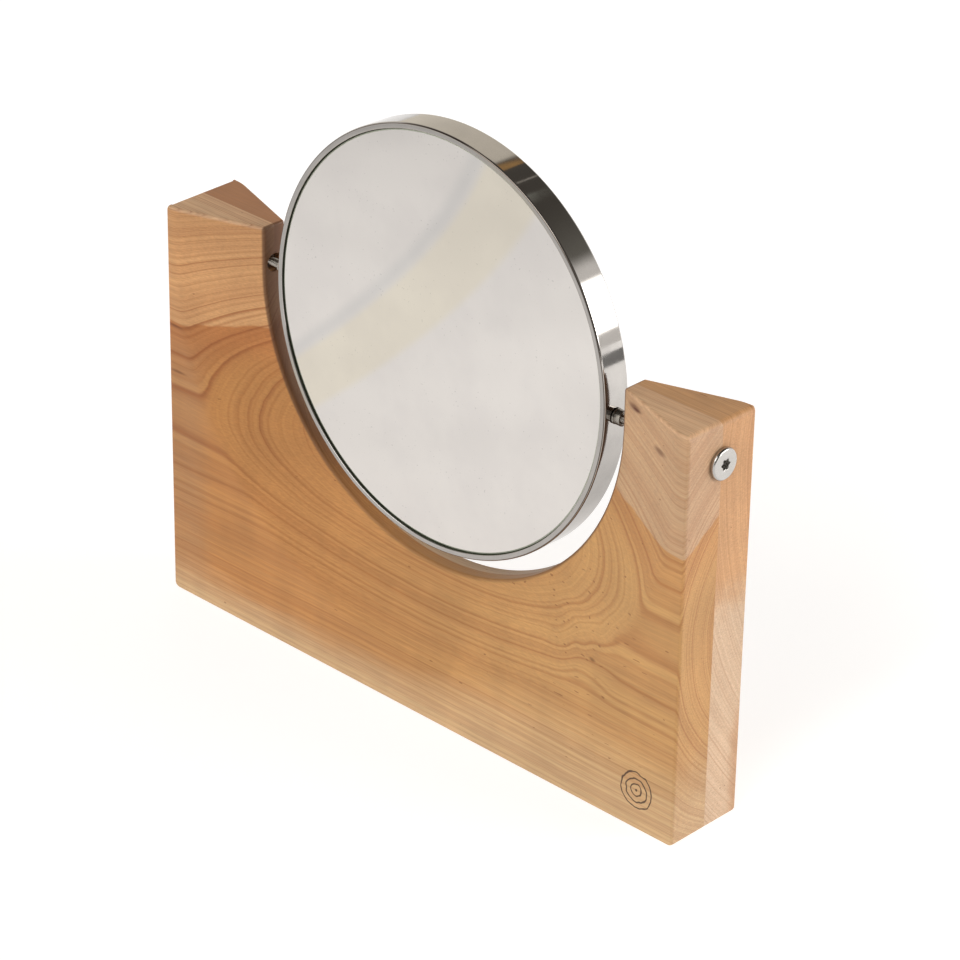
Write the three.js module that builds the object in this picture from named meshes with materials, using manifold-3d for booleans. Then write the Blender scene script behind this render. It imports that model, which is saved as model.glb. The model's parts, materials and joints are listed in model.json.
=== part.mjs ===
// Tabletop vanity mirror: a round two-sided mirror head that tilts between the horns of a
// laminated hardwood block with a U-shaped opening.
//
// Millimetres. X runs from horn to horn, -Y is the front, +Z is up, and the origin is the
// middle of the block's underside. The head turns about a line along X at PIVOT_HEIGHT.

import * as THREE from "three";
import { mergeVertices } from "three/addons/utils/BufferGeometryUtils.js";
import Module from "manifold-3d";

const wasm = await Module();
wasm.setup();

// ---------------------------------------------------------------- driving dimensions

const BLOCK_WIDTH = 318;
const BLOCK_HEIGHT = 200;
const BLOCK_DEPTH = 42;
const ARRIS = 1.5; // rounding of the block's outer edges and of the opening's edges
const CORNER_RADIUS = 3; // corners of the block as seen from the front

const PIVOT_HEIGHT = 181;
const OPENING_RADIUS = 109.5; // round below the pivots, straight above them
const OPENING_WALL = 12.5; // wood left at the opening, half of it in each board
const DISH_RADIUS = 153; // the dished faces run from the opening out to here
const DISH_BLEND = 25; // radius that softens the edge between dish and flat face

const HEAD_RADIUS = 100;
const HEAD_DEPTH = 15;
const REST_TILT = THREE.MathUtils.degToRad(1.4); // the head leans back a little at rest

const SHEET = 1.2; // wall of the head's metal band
const LIP_INNER_RADIUS = 97.2;
const LIP_THICKNESS = 0.9;
const BAND_CORNER = 1.1; // outside rounding between the band and its lips

const GLASS_RADIUS = 98.2;
const GLASS_THICKNESS = 2;
const GLASS_BEVEL_WIDTH = 1;
const GLASS_BEVEL_DEPTH = 0.45;
const REAR_GLASS_CURVATURE = 2000; // the rear glass is hollow, so it enlarges a little

const BOLT_HEAD_DIAMETER = 15;
const BOLT_HEAD_HEIGHT = 2.3;
const BOLT_SLEEVE_DIAMETER = 8.4;
const BOLT_SLEEVE_RECESS = 4; // from the opening's wall back to the end of the sleeve
const HORN_BORE_DIAMETER = 9;
const SOCKET_DIAMETER = 5.5; // across the points of the six-lobe drive
const SOCKET_DEPTH = 2.6;

const STUD_DIAMETER = 4;
const STUD_TIP_DIAMETER = 3; // the stud steps down where it comes out inside the head
const STUD_ENGAGEMENT = 14; // length of stud inside each sleeve
const STUD_INNER_END = 88.5;
const LOCK_NUT = { acrossFlats: 5.5, height: 2.4, bore: 3.6 };
const SHOULDER_COLLAR = { diameter: 7, thickness: 3.2, bore: 4.6 };
const OUTER_WASHER = { diameter: 7.4, thickness: 0.8, bore: 4.6 };
const FRICTION_WASHER = { diameter: 7, thickness: 0.8, bore: 3.6 };
const SPRING_WASHER = { diameter: 6.6, strip: 0.5, rise: 0.4, bore: 3.6 };

const SPACER_INNER_RADIUS = 95.2;
const PAD_RADIUS = 84;
const PAD_THICKNESS = 2.5;

const RUNNING_GAP = 0.3; // between the head and what it turns past, and round the studs
const RESTING_GAP = 0.1; // between hardware that bears on its neighbour
const STUD_HOLE_DIAMETER = STUD_DIAMETER + 2 * RUNNING_GAP;
const CUT_MARGIN = 5; // how far a cutting solid reaches past what it cuts

const ROUND_SEGMENTS = 72; // a multiple of four, so that vertices fall on the X axis
const SMALL_SEGMENTS = 24;

// ---------------------------------------------------------------- materials

const finish = (color, roughness, metalness) =>
  new THREE.MeshStandardMaterial({ color, roughness, metalness });

const wood = finish(0xc99a66, 0.55, 0);
const polishedSteel = finish(0xd8d6d2, 0.12, 1);
const zincSteel = finish(0xb9bbbd, 0.3, 1);
const springSteel = finish(0x8d8f92, 0.35, 1);
const mirrorGlass = finish(0xe9ebea, 0.03, 0.9);
const nylon = finish(0xe6e2d8, 0.5, 0);
const foam = finish(0x3a3a3c, 0.9, 0);

// ---------------------------------------------------------------- solids

// A closed three.js geometry as a solid that can be joined and cut.
function solid(geometry) {
  geometry.deleteAttribute("normal");
  geometry.deleteAttribute("uv");
  const merged = mergeVertices(geometry, 1e-4);
  const corners = merged.index.array;
  const triangles = [];
  for (let i = 0; i < corners.length; i += 3) {
    const [a, b, c] = corners.subarray(i, i + 3);
    if (a !== b && b !== c && c !== a) triangles.push(a, b, c);
  }
  const mesh = new wasm.Mesh({
    numProp: 3,
    vertProperties: merged.attributes.position.array,
    triVerts: new Uint32Array(triangles),
  });
  return new wasm.Manifold(mesh);
}

// A solid as a three.js geometry.
function surface(body) {
  const mesh = body.getMesh();
  const geometry = new THREE.BufferGeometry();
  geometry.setAttribute("position", new THREE.BufferAttribute(mesh.vertProperties, 3));
  geometry.setIndex(new THREE.BufferAttribute(mesh.triVerts, 1));
  geometry.computeVertexNormals();
  return geometry;
}

// Points on a round between two directions, where 0 faces the front and 90 degrees faces
// the axis that distances are measured from.
function round(centre, radius, from, to, steps) {
  const points = [];
  for (let i = 0; i <= steps; i += 1) {
    const angle = from + ((to - from) * i) / steps;
    const x = centre.x - radius * Math.sin(angle);
    const y = centre.y - radius * Math.cos(angle);
    points.push(new THREE.Vector2(x, y));
  }
  return points;
}

// A solid of revolution about the Y axis, from a profile of (distance, y) points.
const turned = (points, segments) => new THREE.LatheGeometry(points, segments);

// A closed ring of revolution, from the corners of its section.
const ring = (corners, segments) => turned([...corners, corners[0]], segments);

// Corners of a plain rectangular section.
const section = (inner, outer, low, high) => [
  new THREE.Vector2(inner, low),
  new THREE.Vector2(outer, low),
  new THREE.Vector2(outer, high),
  new THREE.Vector2(inner, high),
];

// A round bar along X from one distance to another.
function barAlongX(diameter, from, to) {
  const bar = new THREE.CylinderGeometry(diameter / 2, diameter / 2, to - from, SMALL_SEGMENTS);
  bar.rotateZ(Math.PI / 2);
  bar.translate((from + to) / 2, 0, 0);
  return bar;
}

// Turns what was made about the Y axis so that it lies about the X axis, +Y going to +X.
const alongX = (geometry) => geometry.rotateZ(-Math.PI / 2);

function piece(name, geometry, material) {
  const mesh = new THREE.Mesh(geometry, material);
  mesh.name = name;
  return mesh;
}

// ---------------------------------------------------------------- wooden block

// Edge of the opening from the front face inwards to the middle of the block's depth, as
// distances from the pivot axis: flat face, blend, straight slope, rounded edge, wall.
function frontOpeningEdge() {
  const face = -BLOCK_DEPTH / 2;
  const wallFace = -OPENING_WALL / 2;
  const slope = Math.atan((wallFace - face) / (DISH_RADIUS - OPENING_RADIUS));
  const blendSteps = 4;
  const arrisSteps = 4;

  const blendReach = DISH_BLEND * Math.tan(slope / 2);
  const blendCentre = new THREE.Vector2(DISH_RADIUS + blendReach, face + DISH_BLEND);
  const blend = round(blendCentre, DISH_BLEND, 0, slope, blendSteps).slice(1);

  // The first chord of the blend carries on past the face, so the cut leaves a clean edge.
  const tangentPoint = new THREE.Vector2(blendCentre.x, face);
  const runOut = tangentPoint.clone().multiplyScalar(2).sub(blend[0]);

  const arrisStart = OPENING_RADIUS + ARRIS * (1 - Math.sin(slope));
  const arrisStartY = face + (DISH_RADIUS - arrisStart) * Math.tan(slope);
  const arrisCentre = new THREE.Vector2(
    OPENING_RADIUS + ARRIS,
    arrisStartY + ARRIS * Math.cos(slope),
  );
  const arris = round(arrisCentre, ARRIS, slope, Math.PI / 2, arrisSteps);

  return [new THREE.Vector2(runOut.x, face - CUT_MARGIN), runOut, ...blend, ...arris];
}

// Everything that is cut away between the horns: the opening and the dish on each face.
function openingCutter() {
  const front = frontOpeningEdge();
  const back = front.map((p) => new THREE.Vector2(p.x, -p.y)).reverse();
  const edge = [...front, ...back];

  const onAxis = [edge[0], edge[edge.length - 1]].map((p) => new THREE.Vector2(0, p.y));
  const roundPart = turned([onAxis[0], ...edge, onAxis[1]], ROUND_SEGMENTS);

  const otherSide = edge.map((p) => new THREE.Vector2(-p.x, p.y)).reverse();
  const straightPart = new THREE.ExtrudeGeometry(new THREE.Shape([...edge, ...otherSide]), {
    depth: BLOCK_HEIGHT - PIVOT_HEIGHT + CUT_MARGIN,
    bevelEnabled: false,
  });
  return solid(roundPart).add(solid(straightPart)).translate([0, 0, PIVOT_HEIGHT]);
}

function plainBlock() {
  const right = BLOCK_WIDTH / 2 - CORNER_RADIUS;
  const low = CORNER_RADIUS;
  const high = BLOCK_HEIGHT - CORNER_RADIUS;
  const outline = new THREE.Shape();
  outline.absarc(right, low, CORNER_RADIUS, -Math.PI / 2, 0);
  outline.absarc(right, high, CORNER_RADIUS, 0, Math.PI / 2);
  outline.absarc(-right, high, CORNER_RADIUS, Math.PI / 2, Math.PI);
  outline.absarc(-right, low, CORNER_RADIUS, Math.PI, Math.PI * 1.5);
  const block = new THREE.ExtrudeGeometry(outline, {
    depth: BLOCK_DEPTH - 2 * ARRIS,
    bevelThickness: ARRIS,
    bevelSize: ARRIS,
    bevelOffset: -ARRIS,
    bevelSegments: 3,
    curveSegments: 3,
  });
  block.translate(0, 0, -(BLOCK_DEPTH - 2 * ARRIS) / 2);
  block.rotateX(Math.PI / 2);
  return solid(block);
}

// The block is two boards glued face to face, and the pivot bores lie on the glue line.
function boards() {
  const bore = barAlongX(HORN_BORE_DIAMETER, -BLOCK_WIDTH, BLOCK_WIDTH);
  bore.translate(0, 0, PIVOT_HEIGHT);
  const block = plainBlock().subtract(openingCutter()).subtract(solid(bore));

  const half = (name, side) => {
    const keep = new THREE.BoxGeometry(2 * BLOCK_WIDTH, BLOCK_DEPTH, 3 * BLOCK_HEIGHT);
    keep.translate(0, (side * BLOCK_DEPTH) / 2, 0);
    return piece(name, surface(block.intersect(solid(keep))), wood);
  };
  return [half("front_board", -1), half("back_board", 1)];
}

// ---------------------------------------------------------------- pivots

// Each pivot is made along +X from the middle of the head, as it lies in the right horn.

// Flat-headed sleeve bolt: a thin bevelled head outside the horn, a plain sleeve through
// it, a six-lobe drive in the head and a blind hole for the stud in the sleeve's end.
function sleeveBolt() {
  const sleeveEnd = OPENING_RADIUS + BOLT_SLEEVE_RECESS;
  const seat = BLOCK_WIDTH / 2 + RESTING_GAP;
  const top = seat + BOLT_HEAD_HEIGHT;
  const headRadius = BOLT_HEAD_DIAMETER / 2;
  const rimHeight = 1.2;
  const bevel = BOLT_HEAD_HEIGHT - rimHeight;
  const profile = [
    new THREE.Vector2(0, sleeveEnd),
    new THREE.Vector2(BOLT_SLEEVE_DIAMETER / 2, sleeveEnd),
    new THREE.Vector2(BOLT_SLEEVE_DIAMETER / 2, seat),
    new THREE.Vector2(headRadius, seat),
    new THREE.Vector2(headRadius, seat + rimHeight),
    new THREE.Vector2(headRadius - bevel, top),
    new THREE.Vector2(0, top),
  ];
  const bolt = solid(alongX(turned(profile, SMALL_SEGMENTS)));

  const threadBottom = sleeveEnd + STUD_ENGAGEMENT + STUD_DIAMETER / 2;
  const threadHole = barAlongX(STUD_HOLE_DIAMETER, sleeveEnd - CUT_MARGIN, threadBottom);

  const drive = new THREE.ExtrudeGeometry(sixLobeOutline(SOCKET_DIAMETER), {
    depth: SOCKET_DEPTH + CUT_MARGIN,
    bevelEnabled: false,
  });
  drive.rotateY(Math.PI / 2);
  drive.translate(top - SOCKET_DEPTH, 0, 0);
  return surface(bolt.subtract(solid(threadHole)).subtract(solid(drive)));
}

// Six rounded lobes; the valleys lie at 0.72 of the radius of the points.
function sixLobeOutline(diameter) {
  const lobes = 6;
  const valley = 0.72;
  const steps = lobes * 6;
  const points = [];
  for (let i = 0; i < steps; i += 1) {
    const angle = (2 * Math.PI * i) / steps;
    const wave = (1 + valley) / 2 + ((1 - valley) / 2) * Math.cos(lobes * angle);
    const radius = (diameter / 2) * wave;
    points.push(new THREE.Vector2(radius * Math.cos(angle), radius * Math.sin(angle)));
  }
  return new THREE.Shape(points);
}

function pivotStud() {
  const outerEnd = OPENING_RADIUS + BOLT_SLEEVE_RECESS + STUD_ENGAGEMENT;
  const radius = STUD_DIAMETER / 2;
  const tipRadius = STUD_TIP_DIAMETER / 2;
  const chamfer = 0.5;
  const profile = [
    new THREE.Vector2(0, STUD_INNER_END),
    new THREE.Vector2(tipRadius - chamfer, STUD_INNER_END),
    new THREE.Vector2(tipRadius, STUD_INNER_END + chamfer),
    new THREE.Vector2(tipRadius, SPACER_INNER_RADIUS),
    new THREE.Vector2(radius, SPACER_INNER_RADIUS),
    new THREE.Vector2(radius, outerEnd - chamfer),
    new THREE.Vector2(radius - chamfer, outerEnd),
    new THREE.Vector2(0, outerEnd),
  ];
  return alongX(turned(profile, SMALL_SEGMENTS));
}

// Hexagon nut with its corners turned off at both ends.
function hexNut({ acrossFlats, height, bore }, from) {
  const sides = 6;
  const flatRadius = acrossFlats / 2;
  const cornerRadius = flatRadius / Math.cos(Math.PI / sides);
  const prism = new THREE.CylinderGeometry(cornerRadius, cornerRadius, height, sides);
  prism.translate(0, height / 2, 0);

  const blankRadius = 2 * cornerRadius - flatRadius; // clear of the corners
  const turnedOff = 0.5 * (blankRadius - flatRadius); // height lost there at each end
  const profile = [
    new THREE.Vector2(0, 0),
    new THREE.Vector2(flatRadius, 0),
    new THREE.Vector2(blankRadius, turnedOff),
    new THREE.Vector2(blankRadius, height - turnedOff),
    new THREE.Vector2(flatRadius, height),
    new THREE.Vector2(0, height),
  ];
  const blank = turned(profile, SMALL_SEGMENTS);
  const hole = barAlongX(bore, -CUT_MARGIN, height + CUT_MARGIN);
  const nut = solid(alongX(prism)).intersect(solid(alongX(blank))).subtract(solid(hole));
  return surface(nut.translate([from, 0, 0]));
}

// Plain washer or collar.
function flatWasher({ diameter, thickness, bore }, from) {
  const corners = section(bore / 2, diameter / 2, from, from + thickness);
  return alongX(ring(corners, SMALL_SEGMENTS));
}

// Conical spring washer: its rim bears on the friction washer and its bore on the nut.
function springWasher({ diameter, strip, rise, bore }, from) {
  const corners = [
    new THREE.Vector2(bore / 2, from),
    new THREE.Vector2(diameter / 2, from + rise),
    new THREE.Vector2(diameter / 2, from + rise + strip),
    new THREE.Vector2(bore / 2, from + strip),
  ];
  return alongX(ring(corners, SMALL_SEGMENTS));
}

// From the horn inwards: bolt and stud, collar and washer outside the band, then friction
// washer, spring washer and lock nut inside the head.
function pivot(side, turn) {
  const outerWasher = HEAD_RADIUS + RUNNING_GAP;
  const shoulderCollar = outerWasher + OUTER_WASHER.thickness + RESTING_GAP;
  const frictionWasher = SPACER_INNER_RADIUS - RUNNING_GAP - FRICTION_WASHER.thickness;
  const springHeight = SPRING_WASHER.rise + SPRING_WASHER.strip;
  const spring = frictionWasher - RESTING_GAP - springHeight;
  const lockNut = spring - RESTING_GAP - LOCK_NUT.height;

  const group = new THREE.Group();
  group.position.z = PIVOT_HEIGHT;
  group.rotation.z = turn;
  group.add(
    piece(`${side}_sleeve_bolt`, sleeveBolt(), polishedSteel),
    piece(`${side}_pivot_stud`, pivotStud(), zincSteel),
    piece(`${side}_shoulder_collar`, flatWasher(SHOULDER_COLLAR, shoulderCollar), zincSteel),
    piece(`${side}_outer_washer`, flatWasher(OUTER_WASHER, outerWasher), zincSteel),
    piece(`${side}_friction_washer`, flatWasher(FRICTION_WASHER, frictionWasher), nylon),
    piece(`${side}_spring_washer`, springWasher(SPRING_WASHER, spring), springSteel),
    piece(`${side}_lock_nut`, hexNut(LOCK_NUT, lockNut), zincSteel),
  );
  return group;
}

// ---------------------------------------------------------------- mirror head

// The head is made about the Y axis, front towards -Y, with the pivot axis at its middle.

const studHoles = () => solid(barAlongX(STUD_HOLE_DIAMETER, -BLOCK_WIDTH, BLOCK_WIDTH));

// Rolled band with a lip turned in at the front. The back is open, so the glass and the
// spacer go in from there.
function mirrorBand() {
  const front = -HEAD_DEPTH / 2;
  const back = HEAD_DEPTH / 2;
  const frontCentre = new THREE.Vector2(HEAD_RADIUS - BAND_CORNER, front + BAND_CORNER);
  const cornerSteps = 3;
  const frontCorner = round(frontCentre, BAND_CORNER, 0, -Math.PI / 2, cornerSteps);
  const backCorner = frontCorner.map((p) => new THREE.Vector2(p.x, -p.y)).reverse();
  const corners = [
    new THREE.Vector2(LIP_INNER_RADIUS, front),
    ...frontCorner,
    ...backCorner,
    new THREE.Vector2(HEAD_RADIUS - SHEET, back),
    new THREE.Vector2(HEAD_RADIUS - SHEET, front + LIP_THICKNESS),
    new THREE.Vector2(LIP_INNER_RADIUS, front + LIP_THICKNESS),
  ];
  return surface(solid(ring(corners, ROUND_SEGMENTS)).subtract(studHoles()));
}

// Flat snap ring that closes the band behind the rear glass.
function rearBezel() {
  const back = HEAD_DEPTH / 2;
  const outer = HEAD_RADIUS - SHEET - RUNNING_GAP;
  return ring(section(LIP_INNER_RADIUS, outer, back - LIP_THICKNESS, back), ROUND_SEGMENTS);
}

// Flat glass behind the front lip, with a ground bevel round its front edge.
function frontGlass() {
  const front = -HEAD_DEPTH / 2 + LIP_THICKNESS + RUNNING_GAP;
  const back = front + GLASS_THICKNESS;
  const bevelStart = LIP_INNER_RADIUS - GLASS_BEVEL_WIDTH;
  const profile = [
    new THREE.Vector2(0, front),
    new THREE.Vector2(bevelStart, front),
    new THREE.Vector2(LIP_INNER_RADIUS, front + GLASS_BEVEL_DEPTH),
    new THREE.Vector2(GLASS_RADIUS, front + GLASS_BEVEL_DEPTH),
    new THREE.Vector2(GLASS_RADIUS, back),
    new THREE.Vector2(0, back),
  ];
  return turned(profile, ROUND_SEGMENTS);
}

// Enlarging glass behind the head: a shallow hollow of even thickness.
function rearGlass() {
  const rim = HEAD_DEPTH / 2 - LIP_THICKNESS - RUNNING_GAP;
  const steps = 5;
  const hollow = [];
  for (let i = 0; i <= steps; i += 1) {
    const distance = (GLASS_RADIUS * i) / steps;
    const depth = (GLASS_RADIUS ** 2 - distance ** 2) / (2 * REAR_GLASS_CURVATURE);
    hollow.push(new THREE.Vector2(distance, rim - depth));
  }
  const inside = hollow.map((p) => new THREE.Vector2(p.x, p.y - GLASS_THICKNESS));
  return turned([...inside, ...hollow.reverse()], ROUND_SEGMENTS);
}

// Moulded hoop that holds the two glasses apart and carries the studs.
function spacerRing() {
  const outer = HEAD_RADIUS - SHEET - RUNNING_GAP;
  const halfDepth = HEAD_DEPTH / 2 - LIP_THICKNESS - GLASS_THICKNESS - 2 * RUNNING_GAP;
  const corners = section(SPACER_INNER_RADIUS, outer, -halfDepth, halfDepth);
  return surface(solid(ring(corners, ROUND_SEGMENTS)).subtract(studHoles()));
}

// Foam disc that keeps a glass from ringing against the other one.
function backingPad(from) {
  const profile = [
    new THREE.Vector2(0, from),
    new THREE.Vector2(PAD_RADIUS, from),
    new THREE.Vector2(PAD_RADIUS, from + PAD_THICKNESS),
    new THREE.Vector2(0, from + PAD_THICKNESS),
  ];
  return turned(profile, ROUND_SEGMENTS);
}

function mirrorHead() {
  const frontGlassBack = -HEAD_DEPTH / 2 + LIP_THICKNESS + GLASS_THICKNESS + RUNNING_GAP;
  const frontPad = frontGlassBack + RUNNING_GAP;
  const rearPad = frontPad + PAD_THICKNESS + RUNNING_GAP;

  const group = new THREE.Group();
  group.position.z = PIVOT_HEIGHT;
  group.rotation.x = -REST_TILT;
  group.add(
    piece("mirror_band", mirrorBand(), polishedSteel),
    piece("rear_bezel", rearBezel(), polishedSteel),
    piece("front_glass", frontGlass(), mirrorGlass),
    piece("rear_glass", rearGlass(), mirrorGlass),
    piece("spacer_ring", spacerRing(), nylon),
    piece("front_backing_pad", backingPad(frontPad), foam),
    piece("rear_backing_pad", backingPad(rearPad), foam),
  );
  return group;
}

// ---------------------------------------------------------------- whole mirror

const mirror = new THREE.Group();
mirror.add(...boards());
mirror.add(pivot("right", 0));
mirror.add(pivot("left", Math.PI));
mirror.add(mirrorHead());

export default mirror;
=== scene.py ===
# Looks of a tabletop tilting mirror: a round two-sided mirror head in a polished band, hung
# between the horns of a wooden block that is glued up from two boards.
#
# Shapes are worked out in millimetres in the CAD frame and turned into metres when a mesh is
# made. X runs from horn to horn, -Y is the front, +Z is up.

import json
import math

import bmesh
import bpy
import numpy as np
from mathutils import Matrix, Vector


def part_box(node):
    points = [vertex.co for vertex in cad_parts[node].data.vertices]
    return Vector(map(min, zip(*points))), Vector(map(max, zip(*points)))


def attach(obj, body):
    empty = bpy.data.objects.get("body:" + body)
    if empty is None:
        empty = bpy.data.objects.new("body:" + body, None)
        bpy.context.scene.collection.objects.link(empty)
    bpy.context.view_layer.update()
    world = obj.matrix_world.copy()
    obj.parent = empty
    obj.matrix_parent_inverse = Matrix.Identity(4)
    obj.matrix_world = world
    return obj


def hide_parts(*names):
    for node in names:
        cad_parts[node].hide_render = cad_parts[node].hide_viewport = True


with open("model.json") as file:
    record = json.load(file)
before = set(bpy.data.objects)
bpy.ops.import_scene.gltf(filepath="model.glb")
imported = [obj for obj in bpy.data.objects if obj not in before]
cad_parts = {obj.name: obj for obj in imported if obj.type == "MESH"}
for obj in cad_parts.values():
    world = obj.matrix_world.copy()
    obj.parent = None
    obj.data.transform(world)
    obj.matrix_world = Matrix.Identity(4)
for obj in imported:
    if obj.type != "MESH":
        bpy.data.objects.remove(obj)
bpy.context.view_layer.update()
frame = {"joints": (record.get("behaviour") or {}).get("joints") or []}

MM = 0.001


# ---- sizes, from the frame

def box_mm(node):
    """Lowest and highest corner of a CAD node, in millimetres."""
    low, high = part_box(node)
    return low / MM, high / MM


board_low, board_high = box_mm("front_board")
HALF_WIDTH = board_high.x
BLOCK_HEIGHT = board_high.z
HALF_DEPTH = -board_low.y

tilt_joint = frame["joints"][0]
PIVOT_HEIGHT = tilt_joint["pos_m"][2] / MM
HEAD_RADIUS = box_mm("mirror_band")[1].x

ARRIS = 1.5
CORNER_RADIUS = 3.0
TOP_ARRIS = 1.3
OPENING_RADIUS = 109.5
OPENING_WALL = 12.5
DISH_RADIUS = 153.0
DISH_BLEND = 25.0

HEAD_DEPTH = 15.0
REST_TILT = math.radians(1.4)
SHEET = 1.2
LIP_INNER_RADIUS = 97.2
LIP_THICKNESS = 0.9
BAND_CORNER = 1.1
GLASS_RADIUS = 98.2
GLASS_THICKNESS = 2.0
GLASS_BEVEL_WIDTH = 1.0
GLASS_BEVEL_DEPTH = 0.45
REAR_GLASS_CURVATURE = 2000.0
RUNNING_GAP = 0.3
SPACER_INNER_RADIUS = 95.2
PAD_RADIUS = 84.0
PAD_THICKNESS = 2.5
STUD_HOLE_RADIUS = 2.3
HORN_BORE_RADIUS = 4.5
CUT_PAST = 2.0  # how far a drilled hole runs past the wood

AROUND = 256  # segments round the head
SMALL_AROUND = 96  # segments round the hardware
SHARP_EDGE = 32.0  # degrees at which two faces meet in a visible edge
SHARP_EDGE_ON_RING = 40.0


# ---- mesh helpers

class Skin:
    """Collects patches of a closed surface, in millimetres, and welds them into one mesh."""

    def __init__(self):
        self.points = []
        self.faces = []
        self.slots = []

    def grid(self, rows, wrap_rows=False, wrap_columns=False, slot=0):
        """Quads over an array of points. A wrapped direction closes on itself."""
        rows = np.asarray(rows, float)
        n_rows, n_columns = rows.shape[:2]
        first = len(self.points)
        self.points.extend(rows.reshape(-1, 3))
        for i in range(n_rows if wrap_rows else n_rows - 1):
            for j in range(n_columns if wrap_columns else n_columns - 1):
                i_next = (i + 1) % n_rows
                j_next = (j + 1) % n_columns
                corners = [(i, j), (i, j_next), (i_next, j_next), (i_next, j)]
                self.faces.append([first + r * n_columns + c for r, c in corners])
                self.slots.append(slot)

    def cap(self, loop, slot=0):
        """One flat face inside a loop of points."""
        first = len(self.points)
        self.points.extend(np.asarray(loop, float))
        self.faces.append(list(range(first, first + len(loop))))
        self.slots.append(slot)

    def piece(self, name, materials, weld=0.002, sharp=SHARP_EDGE):
        """The welded mesh as an object whose flat faces stay flat and whose rounds are smooth."""
        mesh = bpy.data.meshes.new(name)
        mesh.from_pydata([tuple(p * MM) for p in self.points], [], self.faces)
        for face, slot in zip(mesh.polygons, self.slots):
            face.material_index = slot
        work = bmesh.new()
        work.from_mesh(mesh)
        bmesh.ops.remove_doubles(work, verts=work.verts, dist=weld * MM)
        bmesh.ops.dissolve_degenerate(work, edges=work.edges, dist=weld * MM / 4)
        bmesh.ops.recalc_face_normals(work, faces=work.faces)
        work.to_mesh(mesh)
        work.free()
        obj = bpy.data.objects.new(name, mesh)
        bpy.context.scene.collection.objects.link(obj)
        for material in materials:
            mesh.materials.append(material)
        smooth(obj, sharp)
        return obj


def smooth(obj, sharp):
    """Smooth shading that breaks at edges sharper than this many degrees."""
    obj.data.shade_smooth()
    obj.data.set_sharp_from_angle(angle=math.radians(sharp))
    if not any(m.type == "WEIGHTED_NORMAL" for m in obj.modifiers):
        weighted = obj.modifiers.new("weighted_normals", "WEIGHTED_NORMAL")
        weighted.keep_sharp = True
        weighted.weight = 60


def arc(centre, radius, start, end, steps):
    """Points (u, v) on an arc, with angles in degrees."""
    angles = np.radians(np.linspace(start, end, steps + 1))
    return [(centre[0] + radius * math.cos(a), centre[1] + radius * math.sin(a)) for a in angles]


def line(start, end, steps):
    """Evenly spaced points from start to end, without the first one."""
    start, end = np.asarray(start, float), np.asarray(end, float)
    return [tuple(start + (end - start) * k / steps) for k in range(1, steps + 1)]


def turned(profile, segments, closed=False):
    """Rows of points round the Y axis, from a profile of (radius, y)."""
    angles = np.linspace(0, 2 * math.pi, segments, endpoint=False)
    rows = [[(r * math.cos(a), y, r * math.sin(a)) for a in angles] for r, y in profile]
    skin = Skin()
    skin.grid(rows, wrap_rows=closed, wrap_columns=True)
    return skin


def drill_along_x(obj, radius, centre_height, low, high):
    """Cuts a round hole along X, from x = low to x = high."""
    middle = Vector(((low + high) / 2, 0, centre_height)) * MM
    bpy.ops.mesh.primitive_cylinder_add(
        vertices=SMALL_AROUND,
        radius=radius * MM,
        depth=(high - low) * MM,
        location=middle,
        rotation=(0, math.pi / 2, 0),
    )
    cutter = bpy.context.object
    modifier = obj.modifiers.new("hole", "BOOLEAN")
    modifier.operation = "DIFFERENCE"
    modifier.solver = "EXACT"
    modifier.object = cutter
    obj.modifiers.move(obj.modifiers.find("hole"), 0)
    bpy.context.view_layer.objects.active = obj
    bpy.ops.object.modifier_apply(modifier="hole")
    bpy.data.objects.remove(cutter)


def drill_both_sides(obj, radius, centre_height, inner, outer, sharp):
    """The same hole at the right and at the left, between two distances from the middle."""
    for side in (1, -1):
        low, high = sorted((side * inner, side * outer))
        drill_along_x(obj, radius, centre_height, low, high)
    smooth(obj, sharp)


def circle(radius, y):
    """Points of a circle round the Y axis."""
    angles = np.linspace(0, 2 * math.pi, AROUND, endpoint=False)
    return [(radius * math.cos(a), y, radius * math.sin(a)) for a in angles]


# ---- shader helpers

def srgb(red, green, blue):
    """A display colour, 0 to 255, as the linear colour that shaders take."""
    def linear(v):
        v /= 255
        return v / 12.92 if v <= 0.04045 else ((v + 0.055) / 1.055) ** 2.4
    return (linear(red), linear(green), linear(blue), 1.0)


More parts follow.
